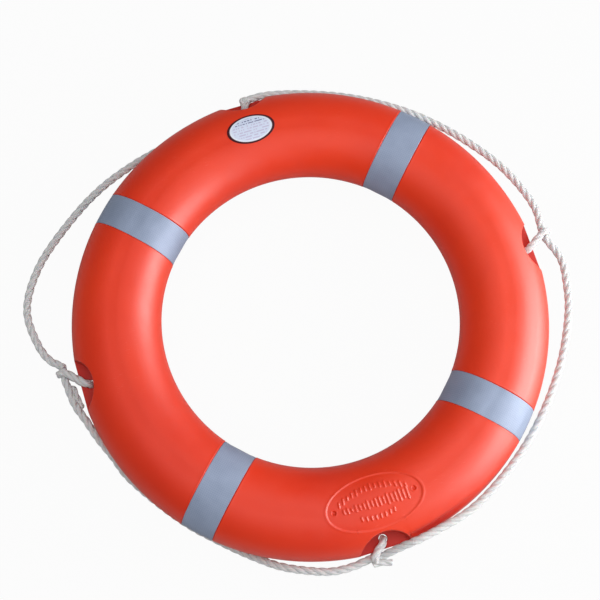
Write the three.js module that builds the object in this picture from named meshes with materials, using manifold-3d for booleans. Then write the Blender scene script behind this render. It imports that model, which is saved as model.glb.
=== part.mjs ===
// Ring lifebuoy with four reflective tapes and a grab line held at four moulded eyelets.
// Millimetres, +Z up. The ring lies flat: its axis is Z, its front face is up, and its mid-plane is z = 0.
import * as THREE from "three";
import { mergeVertices } from "three/addons/utils/BufferGeometryUtils.js";
import Module from "manifold-3d";

const wasm = await Module();
wasm.setup();

// ---- Ring section ----
const OUTER_RADIUS = 360;
const INNER_RADIUS = 226;
const THICKNESS = 108;
const LAND_WIDTH = 12; // flat strip along each crown
const SKIN = 3; // wall of the moulded shell
const PARTING_GAP = 0.3; // between the two shell halves
const FIT = 0.3; // gap between neighbouring pieces
const FOAM_GAP = 1.2;
const RING_STEPS = 72; // facets round the ring
const QUARTER_STEPS = 5; // facets in a quarter of the section
const ARC_STEPS = 14; // half the sides of an upright prism

const RING_RADIUS = (OUTER_RADIUS + INNER_RADIUS) / 2;
const HALF_WIDTH = (OUTER_RADIUS - INNER_RADIUS) / 2;
const HALF_HEIGHT = THICKNESS / 2;
const HALF_LAND = LAND_WIDTH / 2;

// ---- Line anchors: a half-moon recess in both faces, with an eyelet through the web between them ----
const RECESS_RADIUS = 45;
const RECESS_CENTRE = 379; // distance of the recess centre from the ring axis
const WEB = 3; // web thickness in each shell half
const WEB_EDGE = 357.8; // the web ends in a straight edge this far from the axis
const WEB_EDGE_LENGTH = 78;
const EYELET_RADIUS = 7.5;
const EYELET_CENTRE = 343.5;

// ---- Reflective tape ----
const TAPE_WIDTH = 50;
const TAPE_THICKNESS = 0.8;
const TAPE_SINK = 0.1; // face of the tape below the shell surface
const GROOVE_DEPTH = 1.2;
const TAPE_AZIMUTHS = { NE: 45, NW: 135, SW: 225, SE: 315 };

// ---- Approval label and oval panel on the front, plugs on the back ----
const LABEL_AXES = [36, 23.5];
const LABEL_CENTRE = [-3.5, 296];
const LABEL_THICKNESS = 0.6;
const OVAL_AXES = [71, 38.5];
const OVAL_CENTRE = [0, -290];
const OVAL_DEPTH = 0.9;
const PLUG_HEAD_RADIUS = 10;
const PLUG_STEM_RADIUS = 7;
const PLUG_SEAT = 1.5;
const PLUG_AZIMUTHS = { filler_plug: 68, vent_plug: 248 };

// ---- Grab line ----
const ROPE_RADIUS = 6;
const LOOP_RISE = 11; // height of the hitch's centre line over the mid-plane
const LOOP_TUCK = 3; // how far a hitch is pulled in against the line it grips
const STUB_HALF = 10; // half the length of line that each hitch grips
const LOOP_STEPS = 32;
const SPAN_START = 6.8; // clearance from a stub's end centre to the start of a span
const SPAN_STEPS = 38;

// The line's spare end lies along the last stretch of one span, on the side facing the ring.
const TAIL_SPAN = "SW";
const TAIL_LENGTH = 40;
const TAIL_CLEARANCE = 2; // between the spare end and the end of its span
const TAIL_RADIUS = 5.2;
const TAIL_INSET = 5.5;
const TAIL_DROP = 4;
const TAIL_POINTS = 6;

// The cut end beside the south hitch.
const CUT_END_RADIUS = 5;
const CUT_END_OFFSET = 9; // outwards from the gripped line
const CUT_END_LENGTH = 19;
const CUT_END_FLARE = 4; // how far the tip leans outwards

// Anchors: azimuth, radius of the gripped line, and how far along the ring the grip has slipped.
const ANCHORS = {
  N: { azimuth: 90, reach: 365, slip: 0 },
  E: { azimuth: 0, reach: 384, slip: 20 },
  S: { azimuth: 270, reach: 366.5, slip: -20 },
  W: { azimuth: 180, reach: 379, slip: -28 },
};

// At the north anchor the line itself goes down through the eyelet, from a stopper knot on the front
// to the back of the web. Points along it: distance along the ring, distance from the axis, height.
const KNOT_RADIUS = 8;
const THROUGH_STEPS = 26;
const THROUGH_NORTH = [
  [-3.5, 359.5, 12],
  [-2.5, 352, 12],
  [0, 346, 7.8],
  [0, 343.5, 0],
  [0, 346.5, -7.8],
  [1, 352.5, -11.5],
  [6, 357.5, -14],
  [12, 359.5, -17],
];

// Way points of each span between two anchors: azimuth in degrees, distance from the axis, height.
const SPANS = {
  NE: {
    from: "N",
    to: "E",
    way: [
      [84.5, 367.8, -3],
      [76, 367.6, -10],
      [63, 367.8, -13],
      [50, 370.5, -11],
      [41, 373.6, -9],
      [32, 378, -6],
      [22, 385.2, -2],
      [13, 389.6, 0],
      [8.3, 389.5, 0],
    ],
  },
  SE: {
    from: "E",
    to: "S",
    way: [
      [356, 396, 0],
      [350, 395, 0],
      [344.4, 392, 1],
      [333, 382.2, 3],
      [320, 373.2, 7],
      [307, 368.4, 13],
      [292, 367.4, 21],
      [282, 363, 26],
      [277, 362.5, 27],
      [273.5, 362.5, 19],
    ],
  },
  SW: {
    from: "S",
    to: "W",
    way: [
      [262, 371.5, -2],
      [257, 375, -5],
      [250, 372, -11],
      [245, 369, -18],
      [240, 364, -29],
      [235, 360, -39],
      [229, 357, -46],
      [222, 356.5, -47.5],
      [213, 357, -46],
      [203, 361.5, -36],
      [198, 361, -30],
      [192, 365.5, -20],
      [187.5, 369, -10],
      [183.5, 375, -4],
    ],
  },
  NW: {
    from: "W",
    to: "N",
    way: [
      [172, 398, -2],
      [168, 414, -4],
      [161, 431, -10],
      [152, 425.5, -14],
      [140, 404.5, -18],
      [130, 390.4, -22],
      [120, 375.5, -26],
      [109, 364, -31],
      [102, 364, -31],
      [97, 363.5, -27],
      [94, 361.5, -22],
    ],
  },
};

const COLOURS = {
  shell: 0xe5391f,
  foam: 0xe9dfbd,
  tape: 0xaab2c0,
  rope: 0xeceae4,
  label: 0xf2f5f8,
  plug: 0xd8331c,
};

const rad = THREE.MathUtils.degToRad;

// ---- Solids and geometry ----

function solid(geometry) {
  geometry.deleteAttribute("normal");
  geometry.deleteAttribute("uv");
  const merged = mergeVertices(geometry, 1e-4);
  const mesh = new wasm.Mesh({
    numProp: 3,
    vertProperties: merged.attributes.position.array,
    triVerts: new Uint32Array(merged.index.array),
  });
  return new wasm.Manifold(mesh);
}

function geometryOf(body) {
  const mesh = body.getMesh();
  const geometry = new THREE.BufferGeometry();
  geometry.setAttribute("position", new THREE.BufferAttribute(mesh.vertProperties, 3));
  geometry.setIndex(new THREE.BufferAttribute(mesh.triVerts, 1));
  geometry.computeVertexNormals();
  return geometry;
}

// One quarter of the section, from the equator (angle 0) to the crown (angle 90 degrees).
function sectionPoint(angle, inset, side) {
  const reach = HALF_LAND + (HALF_WIDTH - HALF_LAND - inset) * Math.cos(angle);
  const height = (HALF_HEIGHT - inset) * Math.sin(angle);
  return new THREE.Vector2(RING_RADIUS + side * reach, height);
}

// Upper half of the section at an inset, from the outer equator over the crown to the inner one.
function upperArc(inset) {
  const points = [];
  for (let i = 0; i <= QUARTER_STEPS; i++) {
    points.push(sectionPoint((i / QUARTER_STEPS) * (Math.PI / 2), inset, 1));
  }
  for (let i = QUARTER_STEPS; i >= 0; i--) {
    points.push(sectionPoint((i / QUARTER_STEPS) * (Math.PI / 2), inset, -1));
  }
  return points;
}

function revolve(points, steps = RING_STEPS) {
  const closed = [...points, points[0].clone()];
  return solid(new THREE.LatheGeometry(closed, steps).rotateX(Math.PI / 2));
}

// Upper half of the ring at an inset, standing on a flat base.
function halfRing(inset, baseHeight) {
  const arc = upperArc(inset);
  const feet = [arc.at(-1), arc[0]].map((p) => new THREE.Vector2(p.x, baseHeight));
  return revolve([...(baseHeight < 0 ? arc : arc.slice(1, -1)), ...feet]);
}

// The whole ring at an inset.
function fullRing(inset, steps) {
  const upper = upperArc(inset);
  const lower = upper.slice(1, -1).reverse();
  return revolve([...upper, ...lower.map((p) => new THREE.Vector2(p.x, -p.y))], steps);
}

// An upright prism on an ellipse, between two heights.
function ellipsePrism([cx, cy], [a, b], bottom, top) {
  const shape = new THREE.Shape().absellipse(cx, cy, a, b, 0, 2 * Math.PI);
  const extruded = new THREE.ExtrudeGeometry(shape, {
    depth: top - bottom,
    bevelEnabled: false,
    curveSegments: ARC_STEPS,
  });
  return solid(extruded.translate(0, 0, bottom));
}

function box(size, centre, azimuth) {
  const geometry = new THREE.BoxGeometry(...size);
  return solid(geometry.translate(...centre).rotateZ(rad(azimuth)));
}

function polar(azimuth, radius) {
  return [radius * Math.cos(rad(azimuth)), radius * Math.sin(rad(azimuth))];
}

// ---- Shell, foam, tapes, label, plugs ----

function recess(azimuth, radius, bottom, top) {
  return ellipsePrism(polar(azimuth, RECESS_CENTRE), [radius, radius], bottom, top);
}

function tapeBand(azimuth, width, outerInset, innerInset) {
  const band = fullRing(outerInset).subtract(fullRing(innerInset));
  return band.intersect(box([300, width, 2 * THICKNESS], [RING_RADIUS, 0, 0], azimuth));
}

// One half of the shell, front face up: skin, recess walls and webs, with tape grooves and eyelets cut.
function shellHalf() {
  const base = PARTING_GAP / 2;
  const block = halfRing(0, base);
  let half = block.subtract(halfRing(SKIN, -THICKNESS));
  for (const { azimuth } of Object.values(ANCHORS)) {
    half = half.add(block.intersect(recess(azimuth, RECESS_RADIUS + SKIN, 0, THICKNESS)));
  }
  for (const { azimuth } of Object.values(ANCHORS)) {
    const trim = box([60, WEB_EDGE_LENGTH, THICKNESS], [WEB_EDGE + 30, 0, 0], azimuth);
    const eyelet = polar(azimuth, EYELET_CENTRE);
    half = half
      .subtract(recess(azimuth, RECESS_RADIUS, base + WEB, THICKNESS))
      .subtract(ellipsePrism(eyelet, [EYELET_RADIUS, EYELET_RADIUS], -1, THICKNESS))
      .subtract(trim);
  }
  for (const azimuth of Object.values(TAPE_AZIMUTHS)) {
    half = half.subtract(tapeBand(azimuth, TAPE_WIDTH + 2 * FIT, -2, GROOVE_DEPTH));
  }
  return half;
}

// Shallow oval panel sunk in the front crown.
function ovalPanel() {
  const band = halfRing(-2, 1).subtract(halfRing(OVAL_DEPTH, 0));
  return band.intersect(ellipsePrism(OVAL_CENTRE, OVAL_AXES, 0, THICKNESS));
}

// The plug's stepped outline, grown by a gap, as a solid on the back of the ring.
function plugBody(azimuth, gap) {
  const centre = polar(azimuth, RING_RADIUS);
  const head = [PLUG_HEAD_RADIUS + gap, PLUG_HEAD_RADIUS + gap];
  const stem = [PLUG_STEM_RADIUS + gap, PLUG_STEM_RADIUS + gap];
  const face = gap > 0 ? -THICKNESS : -HALF_HEIGHT + FIT;
  const seat = -HALF_HEIGHT + PLUG_SEAT + gap;
  const tip = -HALF_HEIGHT + SKIN + (gap > 0 ? 1 : 0);
  return ellipsePrism(centre, head, face, seat).add(ellipsePrism(centre, stem, seat - 0.5, tip));
}

// The back half is the front half turned over about X, with the two plug holes cut.
function shellRear(half) {
  let rear = solid(geometryOf(half).rotateX(Math.PI));
  for (const azimuth of Object.values(PLUG_AZIMUTHS)) {
    rear = rear.subtract(plugBody(azimuth, FIT));
  }
  return rear;
}

function foamCore() {
  let core = fullRing(SKIN + FOAM_GAP, RING_STEPS / 2);
  for (const { azimuth } of Object.values(ANCHORS)) {
    const clearance = RECESS_RADIUS + SKIN + FOAM_GAP;
    core = core.subtract(recess(azimuth, clearance, -THICKNESS, THICKNESS));
  }
  return core;
}

function labelSticker() {
  const sheet = halfRing(-FIT - LABEL_THICKNESS, 1).subtract(halfRing(-FIT, 0));
  return sheet.intersect(ellipsePrism(LABEL_CENTRE, LABEL_AXES, 1, THICKNESS));
}

// ---- Grab line ----

// Unit vectors outward and along the ring at an azimuth.
function axesAt(azimuth) {
  const outward = new THREE.Vector3(...polar(azimuth, 1), 0);
  const along = new THREE.Vector3(...polar(azimuth + 90, 1), 0);
  return { outward, along };
}

// Where a hitch grips the line, and the direction of the line there.
function grip({ azimuth, reach, slip }) {
  const turned = azimuth + THREE.MathUtils.radToDeg(slip / reach);
  const { outward, along } = axesAt(turned);
  return { centre: outward.multiplyScalar(reach), along };
}

// Closed centre line of a hitch: through the eyelet, over the web, round the gripped line and back.
class HitchLoop extends THREE.Curve {
  constructor(anchor) {
    super();
    this.anchor = anchor;
    this.axes = axesAt(anchor.azimuth);
    this.inner = EYELET_CENTRE + LOOP_RISE;
    this.straight = anchor.reach - LOOP_TUCK - this.inner;
  }

  getPoint(t, target = new THREE.Vector3()) {
    const turn = Math.PI * LOOP_RISE;
    const length = 2 * (this.straight + turn);
    let s = ((t % 1) + 1) % 1 * length;
    let u;
    let z;
    if (s < this.straight) {
      u = this.inner + s;
      z = LOOP_RISE;
    } else if ((s -= this.straight) < turn) {
      u = this.inner + this.straight + LOOP_RISE * Math.sin(s / LOOP_RISE);
      z = LOOP_RISE * Math.cos(s / LOOP_RISE);
    } else if ((s -= turn) < this.straight) {
      u = this.inner + this.straight - s;
      z = -LOOP_RISE;
    } else {
      s -= this.straight;
      u = this.inner - LOOP_RISE * Math.sin(s / LOOP_RISE);
      z = -LOOP_RISE * Math.cos(s / LOOP_RISE);
    }
    const { reach, slip } = this.anchor;
    const shift = slip * THREE.MathUtils.smoothstep(u, EYELET_CENTRE, reach);
    return target
      .copy(this.axes.outward)
      .multiplyScalar(u)
      .addScaledVector(this.axes.along, shift)
      .setZ(z);
  }
}

function capsule(start, end, radius) {
  const axis = end.clone().sub(start);
  const geometry = new THREE.CapsuleGeometry(radius, axis.length(), 3, 8);
  const turn = new THREE.Quaternion().setFromUnitVectors(
    new THREE.Vector3(0, 1, 0),
    axis.clone().normalize(),
  );
  const middle = start.clone().add(end).multiplyScalar(0.5);
  return solid(geometry.applyQuaternion(turn).translate(...middle));
}

function ball(centre, radius) {
  return solid(new THREE.SphereGeometry(radius, 14, 10).translate(...centre));
}

function hitch(anchor) {
  const loop = new THREE.TubeGeometry(new HitchLoop(anchor), LOOP_STEPS, ROPE_RADIUS, 8, true);
  return solid(loop).add(capsule(leaving(anchor), arriving(anchor), ROPE_RADIUS));
}

// A rope of a given radius swept along a curve.
function sweep(curve, steps, radius) {
  const disc = new THREE.Shape().absarc(0, 0, radius, 0, 2 * Math.PI);
  return new THREE.ExtrudeGeometry(disc, {
    steps,
    curveSegments: 5,
    bevelEnabled: false,
    extrudePath: curve,
  });
}

// A point beside an anchor: distance along the ring, distance from the axis, height.
function besideAnchor(azimuth, [along, radius, z]) {
  const axes = axesAt(azimuth);
  return axes.outward.multiplyScalar(radius).addScaledVector(axes.along, along).setZ(z);
}

// The line through the north eyelet, with its stopper knot and a short lead to the next span.
function northTie(anchor) {
  const points = THROUGH_NORTH.map((place) => besideAnchor(anchor.azimuth, place));
  const root = besideAnchor(anchor.azimuth, [0, anchor.reach, ROPE_RADIUS / 2]);
  return solid(sweep(new THREE.CatmullRomCurve3(points), THROUGH_STEPS, ROPE_RADIUS))
    .add(ball(points[0], KNOT_RADIUS))
    .add(ball(points.at(-1), ROPE_RADIUS))
    .add(capsule(root, leaving(anchor), ROPE_RADIUS));
}

// The cut end of the line, left beside the south hitch on its outer side.
function cutEnd(anchor) {
  const { centre, along } = grip(anchor);
  const { outward } = axesAt(anchor.azimuth);
  const root = centre.clone().addScaledVector(outward, CUT_END_OFFSET).setZ(ROPE_RADIUS);
  const tip = root.clone().addScaledVector(along, CUT_END_LENGTH);
  return capsule(root, tip.addScaledVector(outward, CUT_END_FLARE), CUT_END_RADIUS);
}

// Where a clockwise span arrives at a hitch, and where the next span leaves it.
function arriving(anchor) {
  const { centre, along } = grip(anchor);
  return centre.addScaledVector(along, STUB_HALF);
}

function leaving(anchor) {
  const { centre, along } = grip(anchor);
  return centre.addScaledVector(along, -STUB_HALF);
}

// A span runs clockwise from one hitch to the next. It starts and ends just clear of the rounded
// ends of the line that the two hitches grip.
function spanCurve({ from, to, way }) {
  const points = [
    leaving(ANCHORS[from]),
    ...way.map(([azimuth, radius, z]) => new THREE.Vector3(...polar(azimuth, radius), z)),
    to === "N" ? besideAnchor(ANCHORS.N.azimuth, THROUGH_NORTH.at(-1)) : arriving(ANCHORS[to]),
  ];
  const whole = new THREE.CatmullRomCurve3(points);
  const trim = SPAN_START / whole.getLength();
  const kept = [];
  for (let i = 0; i <= SPAN_STEPS; i++) {
    kept.push(whole.getPointAt(trim + (1 - 2 * trim) * (i / SPAN_STEPS)));
  }
  return new THREE.CatmullRomCurve3(kept);
}

// The spare end of the line, laid along the last stretch of a span on the side facing the ring.
function spareEnd(curve) {
  const length = curve.getLength();
  const points = [];
  for (let i = 0; i <= TAIL_POINTS; i++) {
    const behind = TAIL_CLEARANCE + TAIL_LENGTH * (1 - i / TAIL_POINTS);
    const point = curve.getPointAt(1 - behind / length);
    const outward = new THREE.Vector3(point.x, point.y, 0).normalize();
    points.push(point.addScaledVector(outward, -TAIL_INSET).setZ(point.z - TAIL_DROP));
  }
  return solid(sweep(new THREE.CatmullRomCurve3(points), 2 * TAIL_POINTS, TAIL_RADIUS));
}

function span(side) {
  const curve = spanCurve(SPANS[side]);
  const line = sweep(curve, SPAN_STEPS, ROPE_RADIUS);
  return side === TAIL_SPAN ? geometryOf(solid(line).add(spareEnd(curve))) : line;
}

// ---- Assembly ----

const lifebuoy = new THREE.Group();
lifebuoy.name = "ring_lifebuoy";

function place(name, geometry, colour, roughness = 0.5) {
  const material = new THREE.MeshStandardMaterial({ color: colour, roughness });
  const mesh = new THREE.Mesh(geometry, material);
  mesh.name = name;
  lifebuoy.add(mesh);
}

const half = shellHalf();
place("shell_front", geometryOf(half.subtract(ovalPanel())), COLOURS.shell, 0.4);
place("shell_rear", geometryOf(shellRear(half)), COLOURS.shell, 0.4);
place("foam_core", geometryOf(foamCore()), COLOURS.foam, 0.9);
place("approval_label", geometryOf(labelSticker()), COLOURS.label, 0.35);
for (const [name, azimuth] of Object.entries(PLUG_AZIMUTHS)) {
  place(name, geometryOf(plugBody(azimuth, 0)), COLOURS.plug, 0.4);
}
for (const [side, azimuth] of Object.entries(TAPE_AZIMUTHS)) {
  const band = tapeBand(azimuth, TAPE_WIDTH, TAPE_SINK, TAPE_SINK + TAPE_THICKNESS);
  place(`reflective_tape_${side}`, geometryOf(band), COLOURS.tape, 0.45);
}
for (const [side, anchor] of Object.entries(ANCHORS)) {
  let body = side === "N" ? northTie(anchor) : hitch(anchor);
  if (side === "S") {
    body = body.add(cutEnd(anchor));
  }
  place(`line_hitch_${side}`, geometryOf(body), COLOURS.rope, 0.85);
}
for (const side of Object.keys(SPANS)) {
  place(`grab_line_${side}`, span(side), COLOURS.rope, 0.85);
}

export default lifebuoy;
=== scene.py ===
"""Ring lifebuoy: the looks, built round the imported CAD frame.

Lengths below are in millimetres in the ring's own frame: the axis is Z, the front face is up and the
mid-plane is z = 0. Angles round the ring are in degrees from +X, anticlockwise seen from the front.
"""

import math

import bpy
import numpy as np
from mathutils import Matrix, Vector


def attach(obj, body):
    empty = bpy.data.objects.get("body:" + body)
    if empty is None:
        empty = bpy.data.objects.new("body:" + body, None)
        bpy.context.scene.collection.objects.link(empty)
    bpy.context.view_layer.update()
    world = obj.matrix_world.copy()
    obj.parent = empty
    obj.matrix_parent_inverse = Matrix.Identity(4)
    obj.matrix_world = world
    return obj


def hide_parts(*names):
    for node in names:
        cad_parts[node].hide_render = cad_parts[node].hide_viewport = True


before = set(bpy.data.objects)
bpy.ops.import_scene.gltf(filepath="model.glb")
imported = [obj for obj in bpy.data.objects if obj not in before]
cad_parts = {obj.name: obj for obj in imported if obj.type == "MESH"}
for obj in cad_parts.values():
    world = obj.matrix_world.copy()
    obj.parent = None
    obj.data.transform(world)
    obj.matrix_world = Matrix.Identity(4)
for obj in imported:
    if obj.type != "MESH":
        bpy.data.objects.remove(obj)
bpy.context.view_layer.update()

MM = 0.001

# ---- Ring section ----
RING = 293.0  # radius of the crown
LAND = 6.0  # half width of the flat strip on the crown
WIDE = 61.0  # radial half axis of the rounded sides
HIGH = 54.0  # height of the crown over the mid-plane
PARTING = 0.15  # half of the gap between the two shell halves

# ---- Line anchors ----
ANCHOR_ANGLES = (0.0, 90.0, 180.0, 270.0)
RECESS_CENTRE = 379.0
RECESS_RADIUS = 45.0
RECESS_END = math.degrees(math.asin(0.11033))  # half angle of a recess where it meets the rim
WALL_ROUND = 1.5  # drop of the rounded top edge of a recess's wall
FOOT_ROUND = 1.2  # radius where the wall meets the web
WEB_TOP = 3.15
WEB_EDGE = 357.8
EYELET_CENTRE = 343.5
EYELET_RADIUS = 6.5

# ---- Tapes, label, oval panel, plugs ----
TAPE_ANGLES = {"NE": 45.0, "NW": 135.0, "SW": 225.0, "SE": 315.0}
TAPE_HALF = 25.0
GROOVE_DEPTH = 1.2
LABEL_CENTRE = (-3.5, 296.5)
LABEL_AXES = (37.2, 22.7)
LABEL_TOP, LABEL_BOTTOM = 0.55, -0.15  # heights over the shell
OVAL_CENTRE = 291.0
OVAL_AXES = (71.0, 38.0)
OVAL_DEPTH = 1.0
BAR_HEIGHT = 0.95
DOT_PLACE = 59.5  # distance of the two dots from the panel's centre, along the ring
DOT_DEPTH = 2.4
LIP = 0.35  # height of the raised lips round the panel and its dots
CREASE = 69.5  # distance of the crease from the crown, along the surface
CREASE_DEPTH = 2.6
PLUG_ANGLES = {"filler_plug": 68.0, "vent_plug": 248.0}
PLUG_RADIUS = 10.0
PLUG_SUNK = 0.35

# ---- Grab line ----
ROPE = 6.0
LAY = 44.0  # length of one turn of the strands
ROPE_STEP = 1.3
STRAND_STEPS = 11  # points across the outer side of one strand
STRAND_OFFSET, STRAND_SIZE = 0.37, 0.63  # of the line's radius: a strand's centre and its radius
HITCH_ROPE = 5.9  # radius of the line where it is pulled tight
TAIL_ROPE = 5.2  # radius of the spare end
TAIL_START = 56.0  # the spare end's two ends, back from where the span is carried to
TAIL_STOP = 15.0
TAIL_INSET = 6.5  # how far it lies inward of the span
TAIL_DROP = 4.0  # how far it lies behind the span
KNOT_ROPE = 4.2
KNOT_SIZE = 1.7  # scale of the knot's curve
CUT_ROPE = 5.0
CUT_START, CUT_STOP = -6.0, 23.0  # the cut end's run along the gripped line
CUT_FLARE = 0.009  # how it curves away from the line
LOOP_RISE = 11.0
LOOP_TUCK = 3.0  # how far a hitch is pulled in against the line it grips
LOOP_END = 8.0  # how far its outer end reaches beyond the tuck
STUB_HALF = 10.0

# Azimuth, radius of the gripped line and slip of the grip along the ring, for each anchor.
ANCHORS = {
    "N": (90.0, 365.0, 0.0),
    "E": (0.0, 384.0, 20.0),
    "S": (270.0, 366.5, -20.0),
    "W": (180.0, 379.0, -28.0),
}

# The line through the north eyelet, from the stopper knot on the front to the back of the web:
# distance along the ring, distance from the axis, height.
THROUGH_NORTH = [(-3.5, 358, 12), (-2.5, 351.5, 12), (0, 346, 7.8), (0, 343.5, 0), (0, 346.5, -7.8),
                 (1, 352.5, -11.5), (6, 357.5, -14), (12, 359.5, -17)]
KNOT_TO_LINE = [(-3.5, 360.5, 9), (-5.5, 363.5, 4), (-9, 365, 0.6), (-12, 365, 0), (-16, 365, 0)]

# Way points of each span, clockwise: azimuth, distance from the axis, height.
SPANS = {
    "NE": (
        "N",
        "E",
        [(84.5, 367.8, -3), (76, 367.6, -10), (63, 367.8, -13), (50, 370.5, -11),
         (41, 373.6, -9), (32, 378, -6), (22, 385.2, -2), (13, 389.6, 0), (8.3, 389.5, 0)],
    ),
    "SE": (
        "E",
        "S",
        [(356, 396, 0), (350, 395, 0), (344.4, 392, 1), (333, 382.2, 3), (320, 373.2, 7),
         (307, 368.4, 13), (292, 367.4, 21), (282, 363, 26), (277, 362.5, 27),
         (273.5, 362.5, 19)],
    ),
    "SW": (
        "S",
        "W",
        [(262, 371.5, -2), (257, 375, -5), (250, 372, -11), (245, 369, -18), (240, 364, -29),
         (235, 360, -39), (229, 357, -46), (222, 356.5, -47.5), (213, 357, -46),
         (203, 361.5, -36), (198, 361, -30), (192, 365.5, -20), (187.5, 369, -10),
         (183.5, 375, -4)],
    ),
    "NW": (
        "W",
        "N",
        [(172, 398, -2), (168, 414, -4), (161, 431, -10), (152, 425.5, -14),
         (140, 404.5, -18), (130, 390.4, -22), (120, 375.5, -26), (109, 364, -31),
         (102, 364, -31), (97, 363.5, -27), (94, 361.5, -22)],
    ),
}

# ---- Fineness of the shell's mesh ----
COLUMN_STEP, PANEL_COLUMN_STEP = 0.6, 0.13  # degrees
COLUMN_GAP = 0.09  # least angle between an even column and one placed for a detail
PANEL_COLUMNS = 15.6  # how far the close columns reach to either side of the oval panel's middle, in degrees
TAPE_COLUMNS = (22.0, 24.0, 24.8, 25.2, 25.45, 25.7, 25.95, 26.2, 26.7, 27.2, 27.9, 29.0)  # off its middle
RECESS_COLUMNS = 20  # on each side of an anchor
ROW_STEP, PANEL_ROW_STEP = 2.4, 0.8
PANEL_ROWS = 42.0  # how far from the crown the close rows reach

# ---- Floor and light ----
FLOOR_LEVEL = -100.0  # low enough for the spans to swing behind the ring
FLOOR_HALF = 12.0  # half of its side, in metres
FLOOR_GREY = 0.58  # how light it is to the other surfaces
FLOOR_WHITE = 0.985  # how light it is to the camera
FLOOR_GLOW = 0.97  # how far the camera sees the floor as evenly white
ROOM_LIGHT = 0.33
ROOM_REFLECTION = 0.05  # how bright the room looks mirrored in the ring

# Place and size in metres, power, and the power of the sheen alone.
LIGHTS = {
    "key_right": ((1.77, -0.7, 0.75), (2.0, 1.5), 45.0, 135.0),
    "top_fill": ((-0.1, -0.3, 2.9), (2.4, 2.4), 47.0, 18.0),
}

# ---- Camera, in metres ----
CAMERA_PLACE = (-0.1488, -0.3189, 1.6328)
CAMERA_TARGET = (-0.0079, 0.0306, 0.0)
CAMERA_UP = (0.2892, 0.9307, 0.2242)
LENS = 66.2
SENSOR = 36.0

Z_AXIS = np.array([0.0, 0.0, 1.0])


# ---------------------------------------------------------------- helpers


def smoothstep(low, high, x):
    t = np.clip((x - low) / (high - low), 0.0, 1.0)
    return t * t * (3.0 - 2.0 * t)


def unit(v):
    return v / np.linalg.norm(v, axis=-1, keepdims=True)


def polar(angle, radius, z=0.0):
    a = math.radians(angle)
    return np.array([radius * math.cos(a), radius * math.sin(a), z])


def add_mesh(name, points, faces, smooth_angle=40.0):
    """A shown mesh from millimetre points, smooth but for edges sharper than an angle."""
    mesh = bpy.data.meshes.new(name)
    mesh.from_pydata((np.asarray(points) * MM).tolist(), [], faces)
    mesh.update()
    mesh.shade_smooth()
    mesh.set_sharp_from_angle(angle=math.radians(smooth_angle))
    obj = bpy.data.objects.new(name, mesh)
    bpy.context.scene.collection.objects.link(obj)
    return obj


def grid_faces(rows, columns, wrap_rows=False, wrap_columns=False):
    """Quads of a rows x columns grid of points stored row by row."""
    faces = []
    for i in range(rows if wrap_rows else rows - 1):
        for j in range(columns if wrap_columns else columns - 1):
            a, b = i * columns + j, i * columns + (j + 1) % columns
            c = ((i + 1) % rows) * columns
            faces.append((a, b, c + (j + 1) % columns, c + j))
    return faces


def add_uv(obj, per_point):
    """A UV map from one (u, v) pair per point."""
    layer = obj.data.uv_layers.new(name="along")
    loops = np.zeros(len(obj.data.loops), np.int32)
    obj.data.loops.foreach_get("vertex_index", loops)
    layer.data.foreach_set("uv", np.asarray(per_point, np.float32)[loops].ravel())


# ---------------------------------------------------------------- section of the ring

_phi = np.linspace(math.pi / 2, 0.0, 600)
_side = np.stack([WIDE * np.cos(_phi), HIGH * np.sin(_phi)], 1)
_run = np.concatenate([[0.0], np.cumsum(np.linalg.norm(np.diff(_side, axis=0), axis=1))])
HALF_GIRTH = LAND + _run[-1]  # from the crown to the equator, along the surface


def section(s):
    """Offset x from the crown radius, height z and outward normal at arc length s from the crown."""
    s = np.asarray(s, float)
    sign = np.where(s < 0, -1.0, 1.0)
    far = np.maximum(np.abs(s) - LAND, 0.0)
    phi = np.interp(far, _run, _phi)
    x = np.where(np.abs(s) < LAND, np.abs(s), LAND + WIDE * np.cos(phi))
    z = HIGH * np.sin(phi)
    normal = unit(np.stack([np.cos(phi) / WIDE, np.sin(phi) / HIGH], -1))
    return sign * x, z, sign * normal[..., 0], normal[..., 1]


def arc_length_at(radius):
    """Arc length from the crown to the outer side's point at a radius."""
    cosine = np.clip((np.asarray(radius, float) - RING - LAND) / WIDE, 0.0, 1.0)
    return LAND + np.interp(-np.arccos(cosine), -_phi, _run)


def crown_height(radius):
    x = np.maximum(np.abs(np.asarray(radius) - RING) - LAND, 0.0)
    return HIGH * np.sqrt(np.maximum(1.0 - (x / WIDE) ** 2, 0.0))


# ---------------------------------------------------------------- relief on the shell


def turned_by(angle, reference):
    """Signed angle from a reference, in degrees, between -180 and 180."""
    return (angle - reference + 180.0) % 360.0 - 180.0


def column_angle(u, radius):
    """Angle of grid column u at a radius: columns run parallel beside a tape and radial elsewhere."""
    angle = np.broadcast_to(u, np.broadcast(u, radius).shape).astype(float).copy()
    for tape in TAPE_ANGLES.values():
        off = turned_by(angle, tape)
        across = np.clip(RING * np.sin(np.radians(off)) / radius, -0.9, 0.9)
        parallel = np.degrees(np.arcsin(across))
        weight = 1.0 - smoothstep(6.2, 15.0, np.abs(off))
        near = np.abs(off) < 15.0
        angle = np.where(near, tape + off + weight * (parallel - off), angle)
    return angle


def capsule_distance(x, y, a, b):
    """Distance from points to the segment a-b."""
    ax, ay = a
    dx, dy = b[0] - ax, b[1] - ay
    t = np.clip(((x - ax) * dx + (y - ay) * dy) / (dx * dx + dy * dy), 0.0, 1.0)
    return np.hypot(x - ax - t * dx, y - ay - t * dy)


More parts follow.
